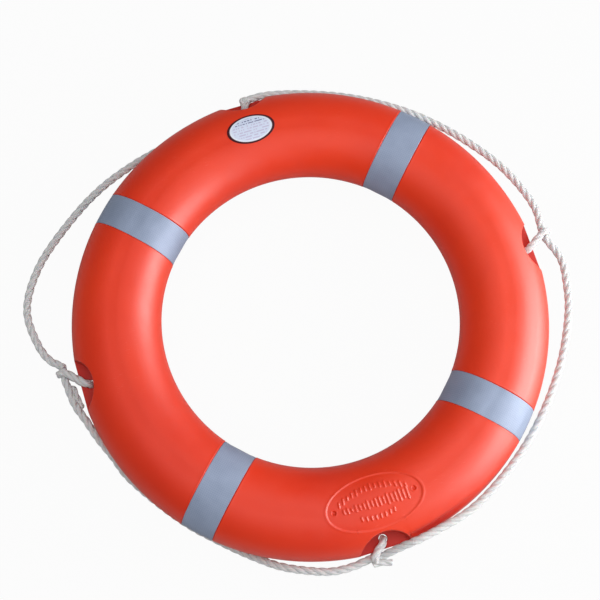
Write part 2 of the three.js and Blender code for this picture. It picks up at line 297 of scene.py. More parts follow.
def panel_strokes():
    """Generic raised marks in the oval panel: three rows of upright bars.

    Each is its inner end, its outer end and its half width, round the panel's centre.
    """
    strokes = []
    for i in range(15):
        x = -49.0 + 7.0 * i
        y = -22.5 + 0.0052 * x * x
        tall = 3.0 + 0.9 * math.sin(2.1 * i)
        strokes.append(((x, y - tall), (x + 0.02 * x, y + tall), 1.25))
    for i in range(17):
        x = -46.0 + 5.9 * i
        tall = 4.6 + 0.055 * x + 1.4 * math.sin(2.4 * i)
        strokes.append(((x, 1.0 - tall), (x + 0.5, 1.0 + tall), 1.35))
    for i in range(8):
        x = -24.5 + 7.0 * i
        y = 21.0 - 0.005 * x * x
        strokes.append(((x, y - 2.4), (x - 0.02 * x, y + 2.4), 1.2))
    return strokes


def panel_relief(x, y):
    """Height of the oval panel below the shell: x along the ring, y outward from the panel's centre."""
    edge = np.sqrt((x / OVAL_AXES[0]) ** 2 + (y / OVAL_AXES[1]) ** 2)
    height = -OVAL_DEPTH * (1.0 - smoothstep(0.966, 1.004, edge))
    height += LIP * np.exp(-(((edge - 1.022) / 0.022) ** 2))
    raised = np.zeros_like(x)
    for a, b, half in panel_strokes():
        near = capsule_distance(x, y, a, b)
        raised = np.maximum(raised, 1.0 - smoothstep(0.3 * half, half + 0.9, near))
    height += BAR_HEIGHT * raised * (1.0 - smoothstep(0.86, 0.92, edge))
    for side in (-1.0, 1.0):
        dot = np.hypot(x - side * DOT_PLACE, y + 2.0)
        height -= DOT_DEPTH * (1.0 - smoothstep(2.2, 3.2, dot))
        height += LIP * np.exp(-(((dot - 4.4) / 0.8) ** 2))
    return height


def shell_relief(angle, radius, s, front):
    """Displacement along the normal of the plain ring, in millimetres."""
    relief = np.zeros(np.broadcast(angle, radius, s).shape)
    for tape in TAPE_ANGLES.values():
        off = np.radians(turned_by(angle, tape))
        across = np.where(np.cos(off) < 0, radius, np.abs(radius * np.sin(off)))
        past = across - TAPE_HALF
        relief -= GROOVE_DEPTH * (1.0 - smoothstep(0.25, 1.1, past))
        relief += 0.22 * np.exp(-(((past - 2.2) / 0.9) ** 2))
    parting_line = 0.28 * np.exp(-(((HALF_GIRTH - np.abs(s)) / 1.1) ** 2))
    relief += parting_line
    turn = np.radians(angle)
    crown = np.cos(0.5 * math.pi * s / HALF_GIRTH)
    relief += 0.16 * crown * (np.sin(7 * turn + 0.05 * s) + 0.6 * np.sin(13 * turn - 0.09 * s + 1.0))
    if front:
        relief += front_relief(angle, radius, s)
    return relief


def front_relief(angle, radius, s):
    """The oval panel and the soft crease that runs from the S recess along the outer slope."""
    off = turned_by(angle, 270.0)
    x = radius * np.sin(np.radians(off))
    y = radius * np.cos(np.radians(off)) - OVAL_CENTRE
    near = (np.abs(off) < 17.0) & (np.abs(y) < 46.0)
    relief = np.zeros(near.shape)
    relief[near] = panel_relief(x[near], y[near])
    fade = smoothstep(4.6, 7.0, off) * (1.0 - smoothstep(15.0, 27.0, off))
    relief -= CREASE_DEPTH * fade * np.exp(-(((s - CREASE) / 4.2) ** 2))
    relief += 0.5 * CREASE_DEPTH * fade * np.exp(-(((s - CREASE - 10.0) / 5.0) ** 2))
    return relief


# ---------------------------------------------------------------- shell halves


def shell_columns(front):
    """Angles of the grid columns: even, and placed closely at recesses, tapes and the oval panel."""
    fixed = []
    for anchor in ANCHOR_ANGLES:
        for k in range(-RECESS_COLUMNS, RECESS_COLUMNS + 1):
            fixed.append(anchor + RECESS_END * math.sin(k / RECESS_COLUMNS * math.pi / 2))
    for tape in TAPE_ANGLES.values():
        for across in TAPE_COLUMNS:
            half = math.degrees(math.asin(across / RING))
            fixed += [tape - half, tape + half]
    fixed = np.array(fixed) % 360.0
    loose = np.arange(0.0, 360.0, COLUMN_STEP)
    if front:
        close = np.arange(270.0 - PANEL_COLUMNS, 270.0 + PANEL_COLUMNS, PANEL_COLUMN_STEP)
        loose = np.concatenate([loose, close])
    loose = loose[np.abs(turned_by(loose[:, None], fixed[None, :])).min(1) > COLUMN_GAP]
    columns = np.sort(np.concatenate([fixed, loose]))
    keep = np.concatenate([[True], np.diff(columns) > 1e-4])
    return columns[keep]


def wall_radius(off):
    """Distance from the axis to a recess's wall, at angles off from its anchor."""
    turn = np.radians(off)
    chord = np.maximum(RECESS_RADIUS**2 - (RECESS_CENTRE * np.sin(turn)) ** 2, 0.0)
    return RECESS_CENTRE * np.cos(turn) - np.sqrt(chord)


def wall_room(top):
    """Share of the full rounding that a recess wall of a height has room for."""
    return np.clip((top - WEB_TOP) / 8.0, 0.02, 1.0)


def straight(start, end, count):
    """Evenly spaced values after start up to end, for every column at once."""
    t = np.linspace(0.0, 1.0, count + 1)[1:, None]
    return start * (1 - t) + end * t


def bezier(p0, p1, p2, count):
    """Points after p0 up to p2 on the curve that rounds the corner p1, for every column at once."""
    t = np.linspace(0.0, 1.0, count + 1)[1:, None]
    return (1 - t) ** 2 * p0 + 2 * t * (1 - t) * p1 + t * t * p2


def recess_profile(off, start):
    """Radius and height down a recess's wall and out along its web, for columns at angles off."""
    wall = wall_radius(off)
    top = crown_height(wall)
    web = np.minimum(WEB_TOP, 0.95 * top)
    rim = np.maximum(np.minimum(WEB_EDGE / np.cos(np.radians(off)), RING + LAND + WIDE), wall + 0.05)
    edge = np.minimum(0.8, 0.3 * (rim - wall))
    foot = np.minimum(FOOT_ROUND * wall_room(top), 0.3 * (rim - wall))
    shoulder = top - WALL_ROUND * wall_room(top)
    radii = [bezier(start[0], wall, wall, 4), straight(wall, wall, 7), bezier(wall, wall, wall + foot, 3),
             straight(wall + foot, rim - edge, 8), bezier(rim - edge, rim, rim, 3), rim[None, :]]
    heights = [bezier(start[1], top, shoulder, 4), straight(shoulder, web + foot, 7),
               bezier(web + foot, web, web, 3), straight(web, web, 8),
               bezier(web, web, web - 0.3 * edge, 3), np.full((1, len(web)), PARTING)]
    return np.concatenate(radii), np.concatenate(heights)


def grid_rows(reach, front):
    """Arc lengths from the crown, row by row from the inner equator to each column's outer reach."""
    fine = PANEL_ROW_STEP if front else ROW_STEP
    inner = np.concatenate([np.arange(HALF_GIRTH, PANEL_ROWS, -ROW_STEP), np.arange(PANEL_ROWS, 0.01, -fine)])
    outer = inner[::-1] / HALF_GIRTH
    return np.concatenate([np.broadcast_to(-inner[:, None], (len(inner), len(reach))),
                           np.zeros((1, len(reach))), outer[:, None] * reach[None, :]])


def shell_grid(front):
    """Points and faces of one closed shell half, front face up."""
    columns = shell_columns(front)
    offs = np.stack([turned_by(columns, a) for a in ANCHOR_ANGLES])
    off = offs[np.abs(offs).argmin(0), np.arange(len(columns))]
    inside = np.abs(off) < RECESS_END - 1e-6
    reach = np.full(len(columns), HALF_GIRTH)
    wall = wall_radius(off[inside])
    reach[inside] = arc_length_at(wall) - WALL_ROUND * wall_room(crown_height(wall))

    s = grid_rows(reach, front)
    x, z, nx, nz = section(s)
    radius = RING + x
    angle = column_angle(columns[None, :], radius)
    relief = shell_relief(angle, radius, s, front)
    radius = radius + nx * relief
    z = np.maximum(z + nz * relief, PARTING)

    start = np.stack([radius[-1, inside], z[-1, inside]])
    deep_r, deep_z = recess_profile(off[inside], start)
    upper = np.stack([radius * np.cos(np.radians(angle)), radius * np.sin(np.radians(angle)), z], -1)
    turn = np.radians(columns[inside])[None, :]
    lower = np.stack([deep_r * np.cos(turn), deep_r * np.sin(turn), deep_z], -1)

    rows, count = s.shape
    index = np.arange(rows * count).reshape(rows, count)
    tail = np.broadcast_to(index[-1], (len(deep_r), count)).copy()
    tail[:, inside] = rows * count + np.arange(deep_r.size).reshape(deep_r.shape)
    index = np.concatenate([index, tail, index[:1]])
    points = np.concatenate([upper.reshape(-1, 3), lower.reshape(-1, 3)])
    return points, stitched(index)


def stitched(index):
    """Faces of a closed ring of columns, leaving out the corners that repeat a point."""
    nxt = np.roll(index, -1, axis=1)
    quads = np.stack([index[:-1], index[1:], nxt[1:], nxt[:-1]], -1).reshape(-1, 4)
    faces = []
    for quad in quads.tolist():
        corners = [v for k, v in enumerate(quad) if v != quad[k - 1]]
        if len(set(corners)) >= 3:
            faces.append(corners)
    return faces


def closed_lathe(profile, centre, steps):
    """A profile of (radius, height) pairs turned about a vertical line, with both ends closed."""
    angles = np.linspace(0, 2 * math.pi, steps, endpoint=False)
    points = []
    for radius, height in profile:
        for a in angles:
            points.append((centre[0] + radius * math.cos(a), centre[1] + radius * math.sin(a), height))
    rows = len(profile)
    faces = grid_faces(rows, steps, wrap_columns=True)
    for row, height, flip in ((0, profile[0][1], True), (rows - 1, profile[-1][1], False)):
        points.append((centre[0], centre[1], height))
        hub = len(points) - 1
        for j in range(steps):
            a, b = row * steps + j, row * steps + (j + 1) % steps
            faces.append((b, a, hub) if flip else (a, b, hub))
    return points, faces


def eyelet_cutter(angle):
    """A spool that bores an eyelet and rounds its mouth."""
    profile = [(EYELET_RADIUS, -3.0), (EYELET_RADIUS, 1.9)]
    for k in range(1, 6):
        a = k / 6 * math.pi / 2
        profile.append((EYELET_RADIUS + 1.2 * (1 - math.cos(a)), 1.9 + 1.3 * math.sin(a)))
    profile += [(EYELET_RADIUS + 1.25, 3.3), (EYELET_RADIUS + 1.25, 9.0)]
    return closed_lathe(profile, polar(angle, EYELET_CENTRE)[:2], 64)


def cut(obj, cutters):
    """Subtracts closed solids from obj."""
    points, faces = [], []
    for more_points, more_faces in cutters:
        base = len(points)
        points += list(more_points)
        faces += [tuple(i + base for i in f) for f in more_faces]
    tool = add_mesh("cutting_tool", points, faces)
    modifier = obj.modifiers.new("holes", "BOOLEAN")
    modifier.operation = "DIFFERENCE"
    modifier.solver = "MANIFOLD"
    modifier.object = tool
    depsgraph = bpy.context.evaluated_depsgraph_get()
    made = bpy.data.meshes.new_from_object(obj.evaluated_get(depsgraph))
    obj.modifiers.clear()
    obj.data = made
    bpy.data.objects.remove(tool)
    obj.data.shade_smooth()
    obj.data.set_sharp_from_angle(angle=math.radians(40.0))


def build_shell(front):
    points, faces = shell_grid(front)
    cutters = [eyelet_cutter(a) for a in ANCHOR_ANGLES]
    if not front:
        for angle in PLUG_ANGLES.values():
            seat = [(PLUG_RADIUS + 0.3, HIGH - 1.6), (PLUG_RADIUS + 0.3, HIGH + 4.0)]
            cutters.append(closed_lathe(seat, polar(-angle, RING)[:2], 64))
    obj = add_mesh("ring_shell_front" if front else "ring_shell_rear", points, faces)
    cut(obj, cutters)
    if not front:
        flip = np.array([[1, 0, 0], [0, -1, 0], [0, 0, -1]], float)
        co = np.zeros(len(obj.data.vertices) * 3, np.float32)
        obj.data.vertices.foreach_get("co", co)
        obj.data.vertices.foreach_set("co", (co.reshape(-1, 3) @ flip).astype(np.float32).ravel())
        obj.data.update()
    return obj


# ---------------------------------------------------------------- tapes, label, plugs


def build_tape(side):
    """A band wrapped once round the section, with rolled edges and a faint ripple."""
    angle = TAPE_ANGLES[side]
    edge = TAPE_HALF - np.array([0.25, 0.07, 0.0, 0.0])
    roll = np.array([0.17, 0.28, 0.45, 0.9])
    across = np.concatenate([-edge[::-1], np.linspace(0.7 - TAPE_HALF, TAPE_HALF - 0.7, 25), edge])
    sunk = np.concatenate([roll[::-1], np.full(25, 0.12), roll])
    half = np.linspace(-HALF_GIRTH, HALF_GIRTH, 97)[:-1]
    x, z, nx, nz = section(half)
    x, z = np.concatenate([x, -x]), np.concatenate([z, -z])
    nx, nz = np.concatenate([nx, -nx]), np.concatenate([nz, -nz])
    way = np.arange(len(x)) / len(x) * 2 * math.pi
    ripple = 0.05 * np.sin(9 * way[:, None] + 0.11 * across[None, :] + angle)
    ripple += 0.04 * np.sin(23 * way[:, None] - 0.07 * across[None, :])
    depth = -sunk[None, :] + ripple * (sunk < 0.2)[None, :]
    radius = RING + x[:, None] + nx[:, None] * depth
    height = z[:, None] + nz[:, None] * depth
    turn = math.radians(angle) + np.arcsin(across[None, :] / radius)
    points = np.stack([radius * np.cos(turn), radius * np.sin(turn), height], -1)
    faces = grid_faces(len(x), len(across), wrap_rows=True, wrap_columns=True)
    obj = add_mesh(f"tape_{side}", points.reshape(-1, 3), faces)
    girth = np.linspace(0, 4 * HALF_GIRTH, len(x))
    uv = np.stack(np.broadcast_arrays(girth[:, None] / 100, across[None, :] / 100), -1)
    add_uv(obj, uv.reshape(-1, 2))
    return obj


def build_label():
    """A thin oval sticker that follows the crown, with a rounded edge."""
    rings, steps = 26, 120
    profile = [(k / rings, LABEL_TOP) for k in range(1, rings)]
    profile += [(0.99, 0.52), (0.998, 0.42), (1.0, 0.25), (1.0, -0.1), (0.97, LABEL_BOTTOM),
                (0.3, LABEL_BOTTOM)]
    points = []
    for share, lift in profile:
        for j in range(steps):
            a = 2 * math.pi * j / steps
            x = LABEL_CENTRE[0] + LABEL_AXES[0] * share * math.cos(a)
            y = LABEL_CENTRE[1] + LABEL_AXES[1] * share * math.sin(a)
            points.append((x, y, crown_height(math.hypot(x, y)) + lift))
    faces = grid_faces(len(profile), steps, wrap_columns=True)
    top, bottom = len(points), len(points) + 1
    points.append((*LABEL_CENTRE, HIGH + LABEL_TOP))
    points.append((*LABEL_CENTRE, HIGH + LABEL_BOTTOM))
    last = (len(profile) - 1) * steps
    for j in range(steps):
        k = (j + 1) % steps
        faces.append((k, j, top))
        faces.append((last + j, last + k, bottom))
    return add_mesh("label_sticker", points, [f[::-1] for f in faces], 60)


def build_plug(name):
    """A pressed-in plug with a rolled rim, a dished face and a raised centre."""
    face = HIGH - PLUG_SUNK
    profile = [(7.0, HIGH - 2.8), (7.0, HIGH - 1.4), (9.8, HIGH - 1.4), (9.95, face - 0.5),
               (9.7, face - 0.12), (9.3, face), (8.3, face), (7.9, face - 0.15), (7.6, face - 0.5),
               (4.0, face - 0.6), (3.6, face - 0.5), (3.2, face - 0.2), (2.6, face - 0.1), (0.6, face - 0.1)]
    points, faces = closed_lathe(profile, polar(-PLUG_ANGLES[name], RING)[:2], 56)
    turned = [(x, -y, -z) for x, y, z in points]
    return add_mesh(name + "_cap", turned, [f[::-1] for f in faces], 50)


# ---------------------------------------------------------------- laid rope


def catmull_rom(points, closed=False, per_leg=24):
    """Centripetal Catmull-Rom curve through points."""
    p = [np.asarray(q, float) for q in points]
    if closed:
        p = [p[-1]] + p + [p[0], p[1]]
    else:
        p = [2 * p[0] - p[1]] + p + [2 * p[-1] - p[-2]]
    out = []
    for p0, p1, p2, p3 in zip(p, p[1:], p[2:], p[3:]):
        t1 = np.linalg.norm(p1 - p0) ** 0.5
        t2 = t1 + np.linalg.norm(p2 - p1) ** 0.5
        t3 = t2 + np.linalg.norm(p3 - p2) ** 0.5
        for t in np.linspace(t1, t2, per_leg, endpoint=False):
            a1 = (t1 - t) / t1 * p0 + t / t1 * p1
            a2 = (t2 - t) / (t2 - t1) * p1 + (t - t1) / (t2 - t1) * p2
            a3 = (t3 - t) / (t3 - t2) * p2 + (t - t2) / (t3 - t2) * p3
            b1 = (t2 - t) / t2 * a1 + t / t2 * a2
            b2 = (t3 - t) / (t3 - t1) * a2 + (t - t1) / (t3 - t1) * a3
            out.append((t2 - t) / (t2 - t1) * b1 + (t - t1) / (t2 - t1) * b2)
    if not closed:
        out.append(p[-2])
    return np.array(out)


def evenly(path, step, closed=False):
    """The path resampled at even arc length, and its length."""
    if closed:
        path = np.concatenate([path, path[:1]])
    run = np.concatenate([[0.0], np.cumsum(np.linalg.norm(np.diff(path, axis=0), axis=1))])
    count = max(int(round(run[-1] / step)), 8)
    at = np.linspace(0.0, run[-1], count + 1)
    if closed:
        at = at[:-1]
    return np.stack([np.interp(at, run, path[:, k]) for k in range(3)], 1), at, run[-1]


def strand_outline(radius):
    """Angles and radii of the three-lobed outline of a laid rope."""
    lobe = np.linspace(-math.pi / 3, math.pi / 3, STRAND_STEPS, endpoint=False)
    offset, strand = STRAND_OFFSET * radius, STRAND_SIZE * radius
    r = offset * np.cos(lobe) + np.sqrt(strand**2 - (offset * np.sin(lobe)) ** 2)
    angles = np.concatenate([lobe + k * 2 * math.pi / 3 for k in range(3)])
    return angles, np.tile(r, 3)


def rope(name, path, radius=ROPE, reference=Z_AXIS, closed=False, phase=0.0, turns=None, tip=None):
    """A three-strand rope along a path.

    reference is a direction the path never follows. tip is the length over which an open end is
    rounded, and turns is the number of turns of the strands over the whole path.
    """
    centre, at, length = evenly(path, ROPE_STEP, closed)
    if closed:
        tangent = unit(np.roll(centre, -1, 0) - np.roll(centre, 1, 0))
        thirds = round(length / LAY * 3)
        turns = thirds / 3
        scale = np.ones(len(at))
    else:
        tangent = unit(np.gradient(centre, axis=0))
        turns = turns or length / LAY
        near = np.minimum(at, length - at) / (tip or radius)
        scale = np.maximum(np.sqrt(1 - (1 - np.minimum(near, 1)) ** 2), 0.04)
    normal = unit(np.cross(reference, tangent))
    binormal = np.cross(tangent, normal)
    angles, radii = strand_outline(radius)
    around = (phase + 2 * math.pi * turns * at / length)[:, None] + angles[None, :]
    reach = scale[:, None] * radii[None, :]
    points = (centre[:, None] + normal[:, None] * (reach * np.cos(around))[..., None]
              + binormal[:, None] * (reach * np.sin(around))[..., None]).reshape(-1, 3)
    rows, columns = len(at), len(angles)
    faces = grid_faces(rows, columns, wrap_columns=True)
    along = np.stack(np.broadcast_arrays(at[:, None] / 100, np.arange(columns)[None, :] / columns), -1)
    along = along.reshape(-1, 2)
    if closed:
        faces += joining_faces(rows, columns, thirds)
    else:
        points = np.concatenate([points, centre[:1], centre[-1:]])
        along = np.concatenate([along, [[0, 0], [length / 100, 0]]])
        faces += end_faces(rows, columns)
    obj = add_mesh(name, points, faces, 75)
    add_uv(obj, along)
    return obj


def end_faces(rows, columns):
    """Fans that close the two ends of an open rope onto the two points after its grid."""
    last = (rows - 1) * columns
    faces = []
    for j in range(columns):
        k = (j + 1) % columns
        faces.append((k, j, rows * columns))
        faces.append((last + j, last + k, rows * columns + 1))
    return faces


def joining_faces(rows, columns, thirds):
    """Faces that join a closed rope's last ring to its first, shifted by thirds of a turn."""
    shift = (thirds % 3) * STRAND_STEPS
    last = (rows - 1) * columns
    faces = []
    for j in range(columns):
        k = (j + 1) % columns
        faces.append((last + j, last + k, (k + shift) % columns, (j + shift) % columns))
    return faces


def grip(name):
    """Centre of a hitch's grip and the direction of the gripped line."""
    azimuth, reach, slip = ANCHORS[name]
    turned = azimuth + math.degrees(slip / reach)
    return polar(turned, reach), polar(turned + 90.0, 1.0)


def beside_anchor(name, places):
    """Points from distances along the ring and from the axis, and heights, beside an anchor."""
    azimuth = ANCHORS[name][0]
    outward, along = polar(azimuth, 1.0), polar(azimuth + 90.0, 1.0)
    return [outward * radius + along * shift + Z_AXIS * z for shift, radius, z in places]


def span_path(side):
    """A span's centre line, carried a little way into the pieces of line at both ends."""
    start, end, way = SPANS[side]
    first, along = grip(start)
    first = first - STUB_HALF * along
    last, along = grip(end)
    last = beside_anchor("N", THROUGH_NORTH)[-1] if end == "N" else last + STUB_HALF * along
    path = catmull_rom([first] + [polar(*w) for w in way] + [last])
    lead_in = unit(path[1] - path[0])
    lead_out = unit(path[-1] - path[-2])
    return np.concatenate([[path[0] - ROPE * lead_in], path, [path[-1] + ROPE * lead_out]])


def build_span(side):
    """A span whose strands meet those of the gripped pieces that its ends run into."""
    path = span_path(side)
    length = np.linalg.norm(np.diff(path, axis=0), axis=1).sum()
    leave, arrive = 2 * STUB_HALF, 2 * ROPE  # how far along the gripped pieces the span's ends lie
    slack = (arrive - leave) / LAY
    turns = round((length / LAY - slack) * 3) / 3 + slack
    return rope(f"line_span_{side}", path, phase=2 * math.pi * leave / LAY, turns=turns)


def spare_end():
    """The line's spare end, laid along the last stretch of the span that ends at the west hitch."""
    path = span_path("SW")
    run = np.concatenate([[0.0], np.cumsum(np.linalg.norm(np.diff(path, axis=0), axis=1))])
    path = path[(run > run[-1] - TAIL_START) & (run < run[-1] - TAIL_STOP)]
    outward = unit(path * np.array([1.0, 1.0, 0.0]))
    path = path - TAIL_INSET * outward - TAIL_DROP * Z_AXIS
    return rope("line_spare_end", path, radius=TAIL_ROPE, phase=1.0)


def loop_path(name):
    """Closed path of a hitch: up through the eyelet, over the line, down and back under the web."""
    azimuth, reach, slip = ANCHORS[name]
    inner, outer = EYELET_CENTRE + LOOP_RISE, reach - LOOP_TUCK
    places = []
    for centre, bulge, start in ((outer, LOOP_END, 0.5), (inner, LOOP_RISE, -0.5)):
        for k in range(9):
            a = (start - k / 8) * math.pi
            u = centre + bulge * math.cos(a)
            places.append((slip * smoothstep(EYELET_CENTRE, reach, u), u, LOOP_RISE * math.sin(a)))
    return catmull_rom(beside_anchor(name, places), closed=True, per_leg=8)


def build_knot():
    """A tight trefoil at the front end of the line through the north eyelet, its stopper knot."""
    centre = beside_anchor("N", THROUGH_NORTH)[0]
    t = np.linspace(0, 2 * math.pi, 160, endpoint=False)
    across = 2.0 + np.cos(3 * t)
    x, y, z = across * np.cos(2 * t), across * np.sin(2 * t), 1.5 * np.sin(3 * t)
    return rope("knot_N", centre + KNOT_SIZE * np.stack([x, y, z], 1), radius=KNOT_ROPE, closed=True)


def build_cut_end():
    """The cut end of the line, left beside the south hitch on its outer side."""
    centre, along = grip("S")
    outward = polar(ANCHORS["S"][0], 1.0)
    root = centre + (ROPE + 3.0) * outward + ROPE * Z_AXIS
    steps = np.linspace(CUT_START, CUT_STOP, 24)[:, None]
    path = root + steps * along + (CUT_FLARE * steps**2 - 1.0) * outward - 0.05 * (20.0 - steps) * Z_AXIS
    return rope("cut_end_S", path, radius=CUT_ROPE, tip=1.4)


def north_tie():
    """The line through the north eyelet, its stopper knot and the lead to the next span."""
    slanted = unit(polar(ANCHORS["N"][0] + 135.0, 1.0) + 0.6 * Z_AXIS)
    through = catmull_rom(beside_anchor("N", THROUGH_NORTH))[::-1]
    through = np.concatenate([[through[0] + ROPE * unit(through[0] - through[1])], through])
    lead = catmull_rom(beside_anchor("N", KNOT_TO_LINE))
    length = np.linalg.norm(np.diff(lead, axis=0), axis=1).sum()
    phase = 2 * math.pi * (2 * (STUB_HALF + ROPE) - length) / LAY
    return [rope("line_through_N", through, radius=HITCH_ROPE, reference=slanted), build_knot(),
            rope("line_lead_N", lead, phase=phase)]


def build_hitch(name):
    """The loop through an eyelet and the short piece of line that it grips."""
    if name == "N":
        return north_tie()
    centre, along = grip(name)
    ends = np.linspace(STUB_HALF + ROPE, -STUB_HALF - ROPE, 30)[:, None]
    sideways = polar(ANCHORS[name][0] + 90.0, 1.0)
    loop = rope(f"hitch_{name}", loop_path(name), radius=HITCH_ROPE, reference=sideways, closed=True)
    pieces = [loop, rope(f"gripped_line_{name}", centre + ends * along)]
    if name == "S":
        pieces.append(build_cut_end())
    return pieces


# ---------------------------------------------------------------- materials


class Graph:
    """Short hand for building a shader node tree."""

    def __init__(self, name):
        self.material = bpy.data.materials.new(name)
        self.material.use_nodes = True
        self.nodes = self.material.node_tree.nodes
        self.links = self.material.node_tree.links
        self.bsdf = self.nodes["Principled BSDF"]

    def node(self, kind, inputs=None, **settings):
        made = self.nodes.new(kind)
        for key, value in settings.items():
            setattr(made, key, value)
        for key, value in (inputs or {}).items():
            self.put(made, key, value)
        return made

    def put(self, node, key, value):
        if isinstance(value, bpy.types.NodeSocket):
            self.links.new(value, node.inputs[key])
        else:
            node.inputs[key].default_value = value

    def math(self, operation, a, b=0.0, clamp=False):
        made = self.node("ShaderNodeMath", {0: a, 1: b}, operation=operation, use_clamp=clamp)
        return made.outputs[0]

    def object_point(self):
        return self.node("ShaderNodeTexCoord").outputs["Object"]

    def uv(self):
        return self.node("ShaderNodeTexCoord").outputs["UV"]

    def noise(self, vector, scale, detail=3.0, roughness=0.5):
        inputs = {"Vector": vector, "Scale": scale, "Detail": detail, "Roughness": roughness}
        return self.node("ShaderNodeTexNoise", inputs).outputs["Fac"]

    def remap(self, value, low, high, to_low, to_high):
        inputs = {0: value, 1: low, 2: high, 3: to_low, 4: to_high}
        return self.node("ShaderNodeMapRange", inputs).outputs[0]

    def mix(self, factor, a, b):
        made = self.node("ShaderNodeMix", data_type="RGBA")
        self.put(made, 0, factor)
        self.put(made, 6, a)
        self.put(made, 7, b)
        return made.outputs[2]

    def bump(self, height, strength, distance, below=None):
        inputs = {"Height": height, "Strength": strength, "Distance": distance}
        if below is not None:
            inputs["Normal"] = below
        return self.node("ShaderNodeBump", inputs).outputs[0]

    def finish(self, **inputs):
        for key, value in inputs.items():
            self.put(self.bsdf, key.replace("_", " "), value)
        return self.material


def crease_shade(g, point):
    """How much painted shade the crease beside the S recess gets: 1 along its middle, 0 away from it."""
    parts = g.node("ShaderNodeSeparateXYZ", {0: point}).outputs
    level = g.node("ShaderNodeVectorMath", {0: point, 1: (1.0, 1.0, 0.0)}, operation="MULTIPLY")
    radius = g.node("ShaderNodeVectorMath", {0: level.outputs[0]}, operation="LENGTH").outputs["Value"]
    middle = (RING + float(section(CREASE)[0])) * MM
    across = g.math("MULTIPLY", g.math("SUBTRACT", radius, middle), 1.0 / (4.6 * MM))
    band = g.math("EXPONENT", g.math("MULTIPLY", g.math("MULTIPLY", across, across), -1.0))
    turn = g.math("ARCTAN2", parts[0], g.math("MULTIPLY", parts[1], -1.0))  # radians past the S anchor
    fade = g.math("MULTIPLY", g.remap(turn, 0.07, 0.14, 0.0, 1.0), g.remap(turn, 0.26, 0.45, 1.0, 0.0))
    return g.math("MULTIPLY", g.math("MULTIPLY", band, fade), g.math("GREATER_THAN", parts[2], 0.0))


def recess_shade(g, point):
    """Painted shade: 1 inside the line recesses, where little light gets in, and 0 on the rest of the shell.
    """
    size = g.node("ShaderNodeVectorMath", {0: point}, operation="ABSOLUTE").outputs[0]
    parts = g.node("ShaderNodeSeparateXYZ", {0: size}).outputs
    ahead = g.math("SUBTRACT", g.math("MAXIMUM", parts[0], parts[1]), RECESS_CENTRE * MM)
    aside = g.math("MINIMUM", parts[0], parts[1])
    squares = g.math("ADD", g.math("MULTIPLY", ahead, ahead), g.math("MULTIPLY", aside, aside))
    low, high = (RECESS_RADIUS - 0.5) * MM, (RECESS_RADIUS + 1.0) * MM
    return g.remap(g.math("SQRT", squares), low, high, 1.0, 0.0)


def plastic_material(name, deep, bright, is_shell=False):
    """Satin moulded polyethylene: faint colour drift, orange peel and light scuffs.

    On the shell, shade is painted into its colour in the crease and in the recesses.
    """
    g = Graph(name)
    point = g.object_point()
    drift = g.noise(point, 5.0, 4.0)
    colour = g.mix(g.remap(drift, 0.3, 0.7, 0.0, 1.0), deep, bright)
    cloud = g.noise(point, 34.0, 5.0, 0.65)
    rough = g.remap(cloud, 0.3, 0.75, 0.42, 0.54)
    stretch = g.node("ShaderNodeMapping", {"Vector": point, "Scale": (30.0, 420.0, 30.0)})
    scratch = g.noise(stretch.outputs[0], 3.0, 2.0, 0.6)
    scuff = g.remap(scratch, 0.66, 0.76, 0.0, 1.0)
    scuff = g.math("MULTIPLY", scuff, g.remap(g.noise(point, 9.0), 0.5, 0.68, 0.0, 1.0))
    rough = g.math("ADD", rough, g.math("MULTIPLY", scuff, 0.12))
    colour = g.mix(g.math("MULTIPLY", scuff, 0.12), colour, (0.95, 0.55, 0.45, 1))
    if is_shell:
        # Painted shade: the crease and the recesses are darkened towards a deep red.
        painted_shade = g.math("MAXIMUM", crease_shade(g, point), recess_shade(g, point))
        colour = g.mix(g.math("MULTIPLY", painted_shade, 0.7), colour, (0.42, 0.003, 0.003, 1))
    peel = g.bump(g.noise(point, 520.0, 2.0), 0.05, 0.0006)
    wave = g.bump(g.noise(point, 60.0, 2.0), 0.06, 0.002, peel)
    return g.finish(
        Base_Color=colour,
        Roughness=rough,
        Normal=wave,
        IOR=1.5,
        Specular_IOR_Level=0.5,
        Subsurface_Weight=0.06,
        Subsurface_Radius=(0.004, 0.0008, 0.0004),
        Subsurface_Scale=1.0,
    )


def tape_material():
    """Grey retro-reflective sheeting: a fine honeycomb of sealed cells under a clear face."""
    g = Graph("reflective_tape")
    uv = g.uv()
    cell = g.node("ShaderNodeTexVoronoi", {"Vector": uv, "Scale": 34.0, "Randomness": 0.25},
                  feature="DISTANCE_TO_EDGE").outputs["Distance"]
    wall = g.remap(cell, 0.03, 0.1, 1.0, 0.0)
    drift = g.noise(g.object_point(), 22.0, 4.0)
    base = g.mix(g.remap(drift, 0.3, 0.7, 0.0, 1.0), (0.21, 0.26, 0.37, 1), (0.27, 0.325, 0.45, 1))
    colour = g.mix(g.math("MULTIPLY", wall, 0.3), base, (0.46, 0.5, 0.6, 1))
    rough = g.remap(drift, 0.3, 0.7, 0.5, 0.62)
    normal = g.bump(wall, 0.12, 0.0003)
    return g.finish(Base_Color=colour, Roughness=rough, Normal=normal, Metallic=0.1,
                    Specular_IOR_Level=0.3)


